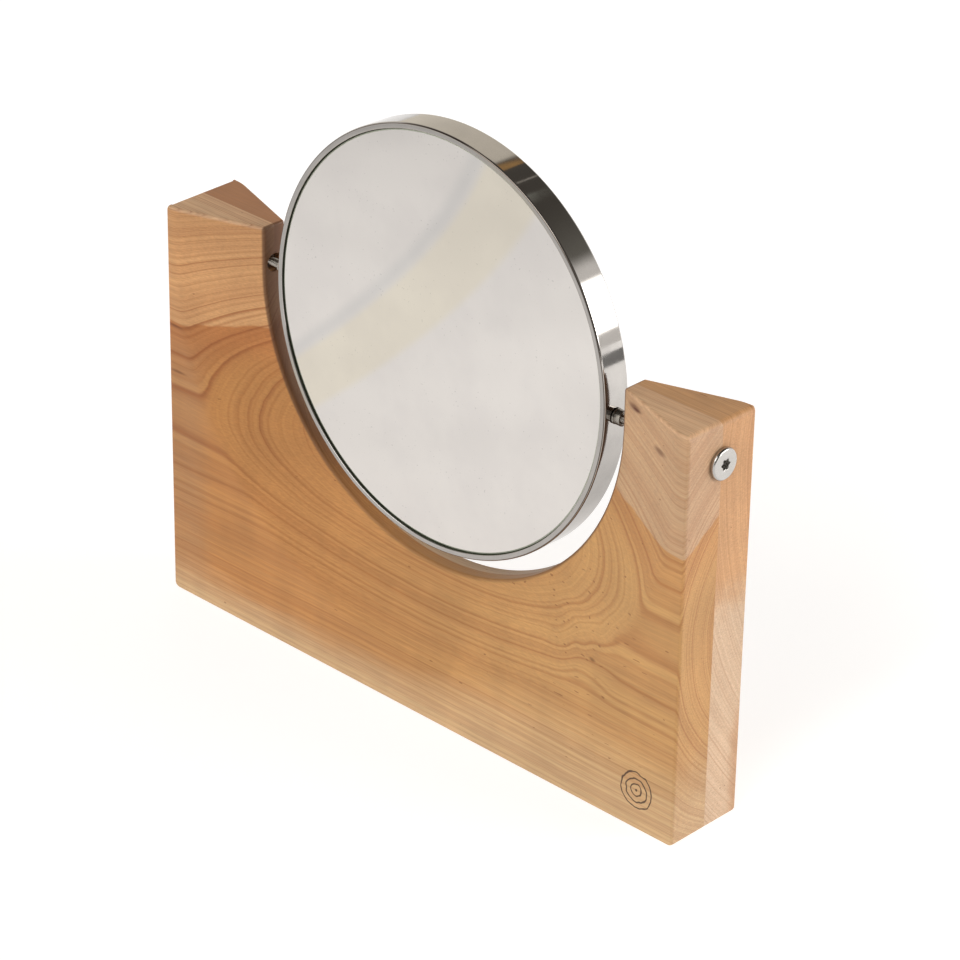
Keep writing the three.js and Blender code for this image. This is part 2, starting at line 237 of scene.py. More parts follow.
class Graph:
    """Adds nodes to a shader tree. Each call returns the new node's output."""

    def __init__(self, tree):
        self.tree = tree

    def link(self, value, socket):
        if isinstance(value, bpy.types.NodeSocket):
            self.tree.links.new(value, socket)
        elif value is not None:
            socket.default_value = value

    def math(self, operation, a, b=None):
        node = self.tree.nodes.new("ShaderNodeMath")
        node.operation = operation
        self.link(a, node.inputs[0])
        self.link(b, node.inputs[1])
        return node.outputs[0]

    def product(self, first, *others):
        for other in others:
            first = self.math("MULTIPLY", first, other)
        return first

    def vector(self, operation, a, b=None):
        node = self.tree.nodes.new("ShaderNodeVectorMath")
        node.operation = operation
        self.link(a, node.inputs[0])
        self.link(b, node.inputs[1])
        return node.outputs["Value" if operation in ("LENGTH", "DOT_PRODUCT") else "Vector"]

    def parts(self, vector):
        node = self.tree.nodes.new("ShaderNodeSeparateXYZ")
        self.link(vector, node.inputs[0])
        return node.outputs

    def join(self, x, y, z):
        node = self.tree.nodes.new("ShaderNodeCombineXYZ")
        for socket, value in zip(node.inputs, (x, y, z)):
            self.link(value, socket)
        return node.outputs[0]

    def step(self, value, low, high, start=0.0, end=1.0):
        """Smooth change from start to end as the value goes from low to high."""
        node = self.tree.nodes.new("ShaderNodeMapRange")
        node.interpolation_type = "SMOOTHSTEP"
        for socket, v in zip(node.inputs, (value, low, high, start, end)):
            self.link(v, socket)
        return node.outputs[0]

    def noise(self, place, scale=1.0, detail=2.0, roughness=0.5, dimensions="3D"):
        node = self.tree.nodes.new("ShaderNodeTexNoise")
        node.noise_dimensions = dimensions
        self.link(place, node.inputs["W" if dimensions == "1D" else "Vector"])
        node.inputs["Scale"].default_value = scale
        node.inputs["Detail"].default_value = detail
        node.inputs["Roughness"].default_value = roughness
        return node.outputs["Fac"]

    def noise_along(self, value, scale, detail):
        return self.noise(value, scale, detail, dimensions="1D")

    def stretched_noise(self, place, stretch, detail, roughness=0.5):
        """Noise that varies at a speed of its own along X, Y and Z."""
        return self.noise(self.vector("MULTIPLY", place, stretch), 1.0, detail, roughness)

    def white_noise(self, value):
        node = self.tree.nodes.new("ShaderNodeTexWhiteNoise")
        node.noise_dimensions = "1D"
        self.link(value, node.inputs["W"])
        return node.outputs["Value"]

    def mix(self, factor, a, b, blend="MIX"):
        node = self.tree.nodes.new("ShaderNodeMix")
        node.data_type = "RGBA"
        node.blend_type = blend
        self.link(factor, node.inputs["Factor"])
        self.link(a, node.inputs[6])
        self.link(b, node.inputs[7])
        return node.outputs[2]

    def bump(self, height, strength, distance):
        node = self.tree.nodes.new("ShaderNodeBump")
        node.inputs["Strength"].default_value = strength
        node.inputs["Distance"].default_value = distance
        self.link(height, node.inputs["Height"])
        return node.outputs[0]


def new_material(name):
    """A material with a Principled shader: (material, graph, shader)."""
    material = bpy.data.materials.new(name)
    material.use_nodes = True
    tree = material.node_tree
    return material, Graph(tree), tree.nodes["Principled BSDF"]


def position_mm(graph):
    """Place on the object in the CAD frame at rest, in millimetres."""
    coordinates = graph.tree.nodes.new("ShaderNodeTexCoord")
    return graph.vector("MULTIPLY", coordinates.outputs["Object"], (1 / MM,) * 3)


def object_normal(graph):
    """Direction that the surface faces, in the object's own frame."""
    return graph.tree.nodes.new("ShaderNodeTexCoord").outputs["Normal"]


# ---- wood

MARK_CENTRE = (HALF_WIDTH - 21.5, 20.0)  # the burnt mark, in x and z on the front face
MARK_RADIUS = 10.6
MARK_PITCH = 2.9
MARK_START = 1.3  # from the middle of the mark to its innermost line
MARK_SWAY = 2.4
MARK_LINE = (0.22, 0.5)  # from the middle of a line to where it fades and where it ends
BURNT = srgb(60, 36, 25)


def off_axis(graph, x, z, centre):
    """Distance in x and z from a point on the front face."""
    dx = graph.math("SUBTRACT", x, centre[0])
    dz = graph.math("SUBTRACT", z, centre[1])
    return graph.vector("LENGTH", graph.join(dx, 0.0, dz))


def burnt_mark(graph, x, y, z):
    """How burnt the front face is: a few growth rings, drawn as if with a hot wire."""
    sway = graph.noise(graph.join(x, 0.0, z), 0.22, 1.0)
    distance = off_axis(graph, x, z, MARK_CENTRE)
    swaying = graph.math("ADD", distance, graph.product(sway, MARK_SWAY))
    to_ring = graph.math("PINGPONG", graph.math("SUBTRACT", swaying, MARK_START), MARK_PITCH / 2)
    line_of_ring = graph.step(to_ring, *MARK_LINE, 1.0, 0.0)
    inside = graph.step(swaying, MARK_RADIUS + 1.0, MARK_RADIUS + 1.3, 1.0, 0.0)
    on_front = graph.step(y, 0.4 - HALF_DEPTH, 0.6 - HALF_DEPTH, 1.0, 0.0)
    return graph.product(line_of_ring, inside, on_front)


# Waves in the growth rings: how fast each varies along X and across it, and its height.
TRUNK_WAVES = (((0.004, 0.012), 5.0), ((0.012, 0.06), 0.9), ((0.04, 0.3), 0.3))
BURL_CENTRE = (104.0, 76.0)
BURL_RADIUS = 34.0
BURL_WAVE = ((0.03, 0.05), 13.0)


def wave(graph, place, stretch, height):
    """A swing to both sides of zero that varies slowly along the grain and faster across it."""
    along, across = stretch
    swing = graph.stretched_noise(place, (along, across, across), 1.0)
    return graph.product(graph.math("SUBTRACT", swing, 0.5), height)


def ring_radius(graph, place, x, y, z, pith):
    """Distance from the pith line, which runs along X behind the board, with the sway of a
    real trunk and a knot of wilder grain near the right end."""
    dy = graph.math("SUBTRACT", y, pith[0])
    dz = graph.math("SUBTRACT", z, pith[1])
    radius = graph.vector("LENGTH", graph.join(0.0, dy, dz))
    for stretch, height in TRUNK_WAVES:
        radius = graph.math("ADD", radius, wave(graph, place, stretch, height))
    wild = graph.step(off_axis(graph, x, z, BURL_CENTRE), 0.0, BURL_RADIUS, 1.0, 0.0)
    swirl = graph.product(wave(graph, place, *BURL_WAVE), wild)
    return graph.math("ADD", radius, swirl)


RING_NARROWING = 2.2  # how much faster rings come further out
RING_SHARPNESS = 7.0
RING_STRENGTH = (0.3, 1.5)  # of the faintest and the boldest ring


def growth_rings(graph, radius, near, width):
    """Darkness of the growth rings, which are this wide near the pith and get narrower further
    out. Each one darkens outwards, ends sharply and has a strength of its own."""
    share = graph.math("POWER", graph.math("DIVIDE", radius, near), RING_NARROWING)
    years = graph.product(share, near / width / RING_NARROWING)
    uneven = graph.product(graph.noise_along(radius, 0.2, 1.0), 2.0)
    years = graph.math("ADD", years, uneven)
    part = graph.math("FRACT", years)
    darkening = graph.math("POWER", part, RING_SHARPNESS)
    ending = graph.step(part, 0.88, 1.0, 1.0, 0.0)
    strength = graph.white_noise(graph.math("FLOOR", years))
    return graph.product(darkening, ending, graph.step(strength, 0.1, 1.0, *RING_STRENGTH))


# Colours of the front board, and the places and heights where it changes from one to another.
RIGHT_TO_LEFT = (-120.0, 120.0)
HEARTWOOD_RIGHT = srgb(188, 144, 89)
HEARTWOOD_LEFT = srgb(181, 126, 69)
LEFT_STRIP = (-146.0, -128.0)
LEFT_STRIP_COLOUR = srgb(173, 128, 84)
TAN_EDGE = (128.0, 154.0)
TAN_EDGE_COLOUR = srgb(171, 110, 60)
FOOT_START = 3.0
FOOT_END = (52.0, 22.0)  # at the right and towards the left
FOOT_COLOUR = srgb(201, 169, 127)
SAPWOOD_SLANT = 0.6
SAPWOOD_START = (154.8, 156.4)
SAPWOOD_RIGHT = srgb(185, 151, 115)
SAPWOOD_LEFT = srgb(195, 147, 99)
TOP_FACE = (BLOCK_HEIGHT - 2.0, BLOCK_HEIGHT - 0.5)
TOP_FACE_COLOUR = srgb(209, 171, 133)
BOLD_AREA = ((-110.0, -40.0), (70.0, 100.0))  # left of these x and above these z
BOLDNESS = (0.6, 1.3)  # of growth rings outside and inside that area


def front_zones(graph, x, y, z, drift):
    """Colour of the front board before its lines are drawn, how strong its lines are, and how
    bold its growth rings. The sapwood lies above a slanting plane, and the board is paler along
    the bottom."""
    leftwards = graph.step(x, *RIGHT_TO_LEFT, 1.0, 0.0)
    slant = graph.math("SUBTRACT", z, graph.product(y, SAPWOOD_SLANT))
    slant = graph.math("ADD", slant, graph.product(drift, 0.35))
    colour = graph.mix(leftwards, HEARTWOOD_RIGHT, HEARTWOOD_LEFT)
    on_strip = graph.step(x, *LEFT_STRIP, 0.7, 0.0)
    colour = graph.mix(on_strip, colour, LEFT_STRIP_COLOUR)
    tan_edge = graph.product(graph.step(slant, *TAN_EDGE), graph.step(leftwards, 0, 1, 0.35, 0.9))
    colour = graph.mix(tan_edge, colour, TAN_EDGE_COLOUR)
    foot_end = graph.step(leftwards, 0.0, 0.6, *FOOT_END)
    pale_foot = graph.step(graph.math("ADD", z, drift), FOOT_START, foot_end, 0.9, 0.0)
    colour = graph.mix(pale_foot, colour, FOOT_COLOUR)
    sapwood = graph.step(slant, *SAPWOOD_START)
    sap = graph.mix(leftwards, SAPWOOD_RIGHT, SAPWOOD_LEFT)
    sap = graph.mix(graph.step(z, *TOP_FACE), sap, TOP_FACE_COLOUR)
    line_strength = graph.step(graph.math("MAXIMUM", sapwood, pale_foot), 0.0, 1.0, 1.0, 0.9)
    left_of, above = BOLD_AREA
    upper_left = graph.product(graph.step(x, *left_of, 1.0, 0.0), graph.step(z, *above))
    bold = graph.step(upper_left, 0.0, 1.0, *BOLDNESS)
    return graph.mix(sapwood, colour, sap), line_strength, bold


BACK_YELLOW = srgb(194, 148, 101)
BACK_PALE = srgb(203, 174, 141)
BACK_STREAK = srgb(178, 130, 88)
BACK_BROWN = srgb(156, 108, 73)
BACK_BOLDNESS = 0.85


def back_zones(graph, x, y, z, drift):
    """The same for the back board: brown at the top, yellow below that, pale pink from the
    middle down."""
    height = graph.math("ADD", z, drift)
    pale = graph.step(height, 100.0, 126.0, 1.0, 0.0)
    colour = graph.mix(pale, BACK_YELLOW, BACK_PALE)
    depth = graph.math("ADD", y, graph.product(drift, 0.3))
    streak = graph.step(depth, 13.0, 19.0, 0.0, 0.6)
    streak = graph.product(streak, graph.step(height, 40.0, 60.0, 1.0, 0.0))
    colour = graph.mix(streak, colour, BACK_STREAK)
    leftwards = graph.step(x, *RIGHT_TO_LEFT, 1.0, 0.1)
    brown = graph.product(graph.step(z, 150.0, 199.0), leftwards)
    line_strength = graph.step(pale, 0.0, 1.0, 1.0, 0.7)
    return graph.mix(brown, colour, BACK_BROWN), line_strength, BACK_BOLDNESS


# Small natural marks on the front board: x and z of the middle, half length along the grain,
# half height and strength.
BLEMISHES = (
    (118.0, 194.8, 5.5, 2.4, 0.75),
    (119.5, 194.4, 5.0, 1.3, 1.0),
    (139.0, 184.6, 5.5, 1.9, 0.65),
    (-153.0, 116.6, 7.0, 0.9, 0.6),
    (-154.0, 140.5, 6.0, 0.8, 0.5),
    (109.4, 73.5, 2.4, 1.0, 0.6),
    (-98.0, 141.0, 1.6, 0.8, 0.5),
)
KNOT = srgb(88, 42, 16)
FLECK = srgb(118, 72, 40)
# Painted shade for the opening's wall, which lies dark in the narrow gap beside the mirror's band.
WALL_SHADE = srgb(86, 54, 33)


def blemishes(graph, x, y, z, drift):
    """How dark the front board is with small knots and streaks."""
    on_front = graph.step(y, -6.5, -4.5, 1.0, 0.0)
    ragged_z = graph.math("ADD", z, graph.product(drift, 0.2))
    total = 0.0
    for middle_x, middle_z, length, height, strength in BLEMISHES:
        dx = graph.math("DIVIDE", graph.math("SUBTRACT", x, middle_x), length)
        dz = graph.math("DIVIDE", graph.math("SUBTRACT", ragged_z, middle_z), height)
        distance = graph.vector("LENGTH", graph.join(dx, 0.0, dz))
        spot = graph.step(distance, 0.2, 1.2, strength, 0.0)
        total = graph.math("MAXIMUM", total, spot)
    return graph.product(total, on_front)


def painted_wall_shade(graph, x, z):
    """How much painted shade lies on the opening's wall, where little light gets into the narrow
    gap beside the mirror's band. There is more of it up the horns.
    """
    below = graph.math("MINIMUM", graph.math("SUBTRACT", z, PIVOT_HEIGHT), 0.0)
    from_axis = graph.vector("LENGTH", graph.join(x, 0.0, below))
    on_wall = graph.step(from_axis, OPENING_RADIUS + 0.6, OPENING_RADIUS + 1.8, 1.0, 0.0)
    return graph.product(on_wall, graph.step(z, 75.0, 120.0, 0.35, 0.8))


def wood(name, seed, zones, rings, line_colour, marked):
    """Fine hardwood whose growth rings are real cylinders round a pith line, so that the grain
    meets on neighbouring faces. rings is the pith's (y, z), the radius near it and the width
    of a ring there."""
    material, graph, shader = new_material(name)
    pith, near, ring_width = rings
    place = position_mm(graph)
    x, y, z = graph.parts(place)
    shifted = graph.vector("ADD", place, (seed, 3.7 * seed, 1.9 * seed))

    ragged = graph.stretched_noise(shifted, (0.02, 0.12, 0.12), 2.0)
    drift = graph.product(graph.math("SUBTRACT", ragged, 0.5), 16.0)
    colour, line_strength, bold = zones(graph, x, y, z, drift)

    radius = ring_radius(graph, shifted, x, y, z, pith)
    bands = graph.step(graph.noise_along(radius, 0.16, 2.0), 0.35, 0.7, 0.0, 0.18)
    hairlines = graph.step(graph.noise_along(radius, 1.1, 1.0), 0.35, 0.75, 0.0, 0.3)
    dark_rings = growth_rings(graph, radius, near, ring_width)
    for lines in (bands, hairlines, graph.product(dark_rings, bold)):
        colour = graph.mix(graph.product(lines, line_strength), colour, line_colour)

    fibres = graph.stretched_noise(shifted, (0.07, 1.6, 1.6), 3.0, 0.65)
    fibre_shade = graph.step(fibres, 0.2, 0.8, 0.87, 1.12)
    patches = graph.stretched_noise(shifted, (0.014, 0.035, 0.035), 2.0)
    patch_shade = graph.step(patches, 0.3, 0.7, 0.95, 1.06)
    figure = graph.stretched_noise(shifted, (0.045, 0.02, 0.014), 2.0)
    figure_shade = graph.step(figure, 0.35, 0.7, 0.97, 1.06)
    shade = graph.product(fibre_shade, patch_shade, figure_shade)
    colour = graph.mix(1.0, colour, graph.join(shade, shade, shade), "MULTIPLY")

    flecks = graph.stretched_noise(shifted, (0.2, 0.7, 0.7), 0.0)
    often = graph.step(off_axis(graph, x, z, BURL_CENTRE), 10.0, 90.0, 0.76, 0.84)
    fleck = graph.step(graph.math("SUBTRACT", flecks, often), 0.0, 0.04, 0.0, 0.6)
    colour = graph.mix(fleck, colour, FLECK)

    facing_end = graph.math("ABSOLUTE", graph.parts(object_normal(graph))[0])
    end_grain = graph.step(facing_end, 0.6, 0.95)
    rays = graph.stretched_noise(shifted, (1.0, 0.5, 1.6), 2.0, 0.6)
    end_shade = graph.step(rays, 0.3, 0.7, 0.87, 1.02)
    end_tint = graph.join(end_shade, end_shade, graph.product(end_shade, 1.06))
    colour = graph.mix(end_grain, colour, graph.mix(1.0, colour, end_tint, "MULTIPLY"))
    # painted shade on the opening's wall, strongest up the horns
    colour = graph.mix(painted_wall_shade(graph, x, z), colour, WALL_SHADE)

    if marked:
        spots = blemishes(graph, x, y, z, drift)
        colour = graph.mix(spots, colour, KNOT)
        burn = burnt_mark(graph, x, y, z)
        colour = graph.mix(graph.product(burn, 0.9), colour, BURNT)

    graph.link(colour, shader.inputs["Base Color"])
    graph.link(graph.step(fibres, 0.2, 0.8, 0.46, 0.6), shader.inputs["Roughness"])
    shader.inputs["Specular IOR Level"].default_value = 0.35
    graph.link(graph.bump(fibres, 0.25, 0.00008), shader.inputs["Normal"])
    return material


def rounded_outline(angles):
    """Where rays from the pivot line leave the block below it: (point, outward normal) lists,
    from the right side round the bottom to the left side."""
    corner = (HALF_WIDTH - CORNER_RADIUS, CORNER_RADIUS - PIVOT_HEIGHT)
    found = []
    for angle in angles:
        along = (math.cos(angle), math.sin(angle))
        reach = min(HALF_WIDTH / max(abs(along[0]), 1e-9), PIVOT_HEIGHT / max(-along[1], 1e-9))
        point = (along[0] * reach, along[1] * reach)
        if abs(point[0]) > corner[0] and point[1] < corner[1]:
            continue
        normal = (math.copysign(1, point[0]), 0) if abs(point[0]) > corner[0] else (0, -1)
        found.append((angle, point, normal))
    for side in (1, -1):
        for turn in np.radians(np.linspace(0, 90, 9)):
            normal = (side * math.cos(turn), -math.sin(turn))
            point = (
                side * corner[0] + CORNER_RADIUS * normal[0],
                corner[1] + CORNER_RADIUS * normal[1],
            )
            found.append((math.atan2(point[1], point[0]), point, normal))
    found.sort(reverse=True)
    return [(point, normal) for _, point, normal in found]


def opening_section():
    """Section of the opening's edge as (distance from the pivot line, depth from the glue
    line), from the wall outwards: wall, rounded edge, slope, blend into the flat face."""
    slope = math.atan((HALF_DEPTH - OPENING_WALL / 2) / (DISH_RADIUS - OPENING_RADIUS))
    start = OPENING_RADIUS + ARRIS * (1 - math.sin(slope))
    start_depth = HALF_DEPTH - (DISH_RADIUS - start) * math.tan(slope)
    edge_centre = (OPENING_RADIUS + ARRIS, start_depth - ARRIS * math.cos(slope))
    reach = DISH_BLEND * math.tan(slope / 2)
    blend_centre = (DISH_RADIUS + reach, HALF_DEPTH - DISH_BLEND)
    slope_degrees = math.degrees(slope)

    edge = arc(edge_centre, ARRIS, 180, 90 + slope_degrees, 6)
    blend = arc(blend_centre, DISH_BLEND, 90 + slope_degrees, 90, 8)
    return (
        [(OPENING_RADIUS, 0.0)]
        + line((OPENING_RADIUS, 0.0), edge[0], 4)
        + edge[1:]
        + line(edge[-1], blend[0], 14)
        + blend[1:]
    )


def board_rows():
    """Rows of (x, depth, z) from the right horn's top round the opening to the left horn's
    top. Depth is the distance from the glue line."""
    section = opening_section()
    flat_steps = 8
    edge_steps = 6
    side_steps = 4

    def row(centre, outline, normal):
        outline = np.array(outline)
        normal = np.array(normal, float)
        along = (outline - centre) / np.linalg.norm(outline - centre)
        points = [(*(centre + along * d), depth) for d, depth in section]
        rim = outline - normal * ARRIS
        points += line(points[-1], (*rim, HALF_DEPTH), flat_steps)
        for turn in np.linspace(0, math.pi / 2, edge_steps + 1)[1:]:
            out = rim + normal * ARRIS * math.sin(turn)
            points.append((*out, HALF_DEPTH - ARRIS * (1 - math.cos(turn))))
        points += line(points[-1], (*outline, 0.0), side_steps)
        return np.array([(u, depth, PIVOT_HEIGHT + v) for u, v, depth in points])

    def straight_row(side, height):
        centre = np.array((0.0, height))
        return row(centre, (side * HALF_WIDTH, height), (side, 0))

    straight = BLOCK_HEIGHT - CORNER_RADIUS - PIVOT_HEIGHT
    heights = np.linspace(straight, 0, 9)[:-1]
    angles = np.radians(np.linspace(0, -180, 241))
    below = [row(np.zeros(2), point, normal) for point, normal in rounded_outline(angles)]
    right = [straight_row(1, height) for height in heights]
    left = [straight_row(-1, height) for height in heights[::-1]]
    return top_rounding(right[0], 1)[::-1] + right + below + left + top_rounding(left[-1], -1)


def top_rounding(row, side):
    """Rows that round a horn's top edge, each a little further in, ending on the top face."""
    steps = 7
    plan = row[:, :2].copy()
    plan[:, 0] *= side
    before = np.vstack([plan[:1], plan[:-1]])
    after = np.vstack([plan[1:], plan[-1:]])
    run = after - before
    run /= np.linalg.norm(run, axis=1)[:, None]
    inward = np.stack([run[:, 1], -run[:, 0]], axis=1)
    inward[0] = (1, 0)
    inward[-1] = (-1, 0)

    # The corner seen from the front is rounder than the edges of the faces.
    outside = np.clip((plan[:, 0] - (HALF_WIDTH - ARRIS)) / ARRIS, 0, 1)
    radius = TOP_ARRIS + (CORNER_RADIUS - TOP_ARRIS) * outside
    rows = []
    for turn in np.linspace(0, math.pi / 2, steps + 1):
        inset = radius * (1 - math.cos(turn))
        moved = plan + inward * inset[:, None]
        height = BLOCK_HEIGHT - radius * (1 - math.sin(turn))
        rows.append(np.stack([moved[:, 0] * side, moved[:, 1], height], axis=1))
    return rows


def board(name, facing, material):
    """One board of the block. facing is -1 for the front board and 1 for the back board."""
    rows = np.array(board_rows())
    rows[:, :, 1] *= facing
    skin = Skin()
    skin.grid(rows)
    skin.cap(rows[0])
    skin.cap(rows[-1])
    glue_face = [row[0] for row in rows] + [row[-1] for row in rows[::-1]]
    skin.cap(glue_face)
    piece = skin.piece(name, [material])
    inner = OPENING_RADIUS - CUT_PAST
    outer = HALF_WIDTH + CUT_PAST
    drill_both_sides(piece, HORN_BORE_RADIUS, PIVOT_HEIGHT, inner, outer, SHARP_EDGE)
    return piece


FRONT_RINGS = ((60.0, 98.0), 85.0, 2.7)  # the pith's (y, z), radius near it, ring width there
BACK_RINGS = ((200.0, 170.0), 190.0, 2.2)
FRONT_LINES = srgb(140, 80, 38)
BACK_LINES = srgb(150, 100, 60)


def make_block():
    front_wood = wood("front_wood", 11.0, front_zones, FRONT_RINGS, FRONT_LINES, marked=True)
    back_wood = wood("back_wood", 47.0, back_zones, BACK_RINGS, BACK_LINES, marked=False)
    for node, facing, material in (("front_board", -1, front_wood), ("back_board", 1, back_wood)):
        piece = board(f"{node}_fine", facing, material)
        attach(piece, "stand")
        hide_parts(node)


# ---- metal, glass and fillers

# Near black for the band's front corner: a painted dark reflection.
CORNER_DARK_REFLECTION = (0.11, 0.09, 0.075, 1)
SILVER = (0.68, 0.65, 0.625, 1)
BRIGHT_SILVER = (0.71, 0.68, 0.65, 1)
DUST = (0.4, 0.38, 0.36, 1)
GREEN_GLASS = srgb(48, 54, 42)
PALE_GREEN_GLASS = srgb(80, 84, 68)
LIT_BEVEL = srgb(170, 174, 158)


def head_place(graph, place):
    """Distance of a place from the ring's axis, and how far behind the ring's middle it is."""
    from_pivot = graph.vector("SUBTRACT", place, (0.0, 0.0, PIVOT_HEIGHT))
    axis = (0.0, math.cos(REST_TILT), -math.sin(REST_TILT))
    depth = graph.vector("DOT_PRODUCT", from_pivot, axis)
    along = graph.vector("MULTIPLY", graph.join(depth, depth, depth), axis)
    return graph.vector("LENGTH", graph.vector("SUBTRACT", from_pivot, along)), depth


def front_corner(graph, place):
    """How far a place lies on the corner where the ring's band turns into its front lip."""
    outwards, depth = head_place(graph, place)
    corner = HEAD_RADIUS - BAND_CORNER
    front = BAND_CORNER - HEAD_DEPTH / 2
    return graph.product(
        graph.step(outwards, corner + 0.35, corner + 0.5),
        graph.step(depth, front - 0.85, front - 0.65, 1.0, 0.0),
    )


def metal(name, colour, roughness, spread, scratch, painted_corner_reflection=False):
    """Polished or plated metal with uneven polish and fine rubbing marks. The ring's front corner
    can be painted near black: a painted dark reflection where the band turns into its lip."""
    material, graph, shader = new_material(name)
    place = position_mm(graph)
    clouds = graph.noise(place, 0.09, 3.0)
    fine = graph.noise(place, 1.7, 2.0)
    uneven = graph.math("ADD", graph.product(clouds, 0.7), graph.product(fine, 0.3))
    dull = tuple(0.9 * c for c in colour[:3]) + (1.0,)
    colour = graph.mix(graph.step(uneven, 0.3, 0.7), colour, dull)
    # painted dark reflection along the band's front corner
    if painted_corner_reflection:
        colour = graph.mix(front_corner(graph, place), colour, CORNER_DARK_REFLECTION)
    graph.link(colour, shader.inputs["Base Color"])
    rough = graph.step(uneven, 0.3, 0.7, roughness, roughness + spread)
    graph.link(rough, shader.inputs["Roughness"])
    shader.inputs["Metallic"].default_value = 1.0
    graph.link(graph.bump(fine, scratch, 0.00002), shader.inputs["Normal"])
    return material


def mirror_surface():
    """Silvered glass with a trace of dust."""
    material, graph, shader = new_material("mirror_silver")
    place = position_mm(graph)
    clouds = graph.noise(place, 0.03, 3.0)
    dust = graph.step(graph.noise(place, 1.1, 0.0), 0.8, 0.84)
    silver = graph.mix(graph.step(clouds, 0.35, 0.65), SILVER, BRIGHT_SILVER)
    dusty = graph.mix(graph.product(dust, 0.3), silver, DUST)
    graph.link(dusty, shader.inputs["Base Color"])
    graph.link(graph.step(clouds, 0.3, 0.7, 0.004, 0.02), shader.inputs["Roughness"])
    shader.inputs["Metallic"].default_value = 1.0
    return material


def glass_edge():
    """Ground bevel of the glass, where its green body colour shows."""
    material, graph, shader = new_material("glass_edge")
    place = position_mm(graph)
    ground = graph.noise(place, 0.8, 3.0)
    outwards, _ = head_place(graph, place)
    bevel_start = LIP_INNER_RADIUS - GLASS_BEVEL_WIDTH
    deep = graph.step(outwards, bevel_start + 0.45, bevel_start + 0.75)
    green = graph.mix(ground, GREEN_GLASS, PALE_GREEN_GLASS)
    colour = graph.mix(deep, LIT_BEVEL, green)
    graph.link(colour, shader.inputs["Base Color"])
    graph.link(graph.step(ground, 0.3, 0.7, 0.06, 0.16), shader.inputs["Roughness"])
    shader.inputs["Specular IOR Level"].default_value = 0.6
    return material


def plastic(name, colour, roughness):
    """Moulded or foamed filler with a fine grain."""
    material, graph, shader = new_material(name)
    place = position_mm(graph)
    grain = graph.noise(place, 2.2, 3.0)
    darker = tuple(0.8 * c for c in colour[:3]) + (1.0,)
    graph.link(graph.mix(graph.step(grain, 0.3, 0.7), colour, darker), shader.inputs["Base Color"])
    graph.link(graph.step(grain, 0.3, 0.7, roughness, roughness + 0.1), shader.inputs["Roughness"])
    graph.link(graph.bump(grain, 0.4, 0.0001), shader.inputs["Normal"])
    return material


# ---- mirror head

def hang(piece, node):
    """Tilts a piece made about the Y axis into its rest pose and rides it on the head."""
    tilt = Matrix.Rotation(-REST_TILT, 4, "X")
    place = Matrix.Translation((0, 0, PIVOT_HEIGHT * MM)) @ tilt
    piece.data.transform(place)
    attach(piece, "mirror_head")
    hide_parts(node)


def make_band(material):
    front = -HEAD_DEPTH / 2
    back = HEAD_DEPTH / 2
    wall = HEAD_RADIUS - SHEET
    lip_edge = LIP_THICKNESS / 2
    corner = HEAD_RADIUS - BAND_CORNER
    profile = (
        arc((LIP_INNER_RADIUS + lip_edge, front + lip_edge), lip_edge, 90, 270, 8)
        + arc((corner, front + BAND_CORNER), BAND_CORNER, 270, 360, 8)
        + arc((corner, back - BAND_CORNER), BAND_CORNER, 0, 90, 8)
        + [(wall, back), (wall, front + LIP_THICKNESS)]
    )
    piece = turned(profile, AROUND, closed=True).piece("mirror_band_fine", [material])
    inner = HEAD_RADIUS - 5.0
    outer = HEAD_RADIUS + 5.0
    drill_both_sides(piece, STUD_HOLE_RADIUS, 0.0, inner, outer, SHARP_EDGE_ON_RING)
    hang(piece, "mirror_band")


def make_bezel(material):
    back = HEAD_DEPTH / 2
    outer = HEAD_RADIUS - SHEET - RUNNING_GAP
    edge = LIP_THICKNESS / 2
    soft = 0.2
    profile = (
        arc((LIP_INNER_RADIUS + edge, back - edge), edge, 270, 90, 8)
        + arc((outer - soft, back - soft), soft, 90, 0, 3)
        + arc((outer - soft, back - LIP_THICKNESS + soft), soft, 0, -90, 3)
    )
    piece = turned(profile, AROUND, closed=True).piece("rear_bezel_fine", [material])
    hang(piece, "rear_bezel")


def make_front_glass(silver, edge):
    front = -HEAD_DEPTH / 2 + LIP_THICKNESS + RUNNING_GAP
    back = front + GLASS_THICKNESS
    bevel_start = LIP_INNER_RADIUS - GLASS_BEVEL_WIDTH
    skin = Skin()
    skin.cap(circle(bevel_start, front))
    rim = [
        circle(bevel_start, front),
        circle(LIP_INNER_RADIUS, front + GLASS_BEVEL_DEPTH),
        circle(GLASS_RADIUS, front + GLASS_BEVEL_DEPTH),
        circle(GLASS_RADIUS, back),
    ]
    skin.grid(rim, wrap_columns=True, slot=1)
    skin.cap(circle(GLASS_RADIUS, back), slot=1)
    piece = skin.piece("front_glass_fine", [silver, edge], sharp=5.0)
    hang(piece, "front_glass")


def make_rear_glass(silver, edge):
    rim = HEAD_DEPTH / 2 - LIP_THICKNESS - RUNNING_GAP
    rings = 24
    distances = np.linspace(1.0, GLASS_RADIUS, rings)

    def loop(radius, drop):
        y = rim - drop - (GLASS_RADIUS**2 - radius**2) / (2 * REAR_GLASS_CURVATURE)
        return circle(radius, y)

    edge_rows = [loop(GLASS_RADIUS, 0), loop(GLASS_RADIUS, GLASS_THICKNESS)]
    skin = Skin()
    skin.cap(loop(distances[0], 0))
    skin.grid([loop(d, 0) for d in distances], wrap_columns=True)
    skin.grid(edge_rows, wrap_columns=True, slot=1)
    skin.grid([loop(d, GLASS_THICKNESS) for d in distances], wrap_columns=True, slot=1)
    skin.cap(loop(distances[0], GLASS_THICKNESS), slot=1)
    piece = skin.piece("rear_glass_fine", [silver, edge])
    hang(piece, "rear_glass")


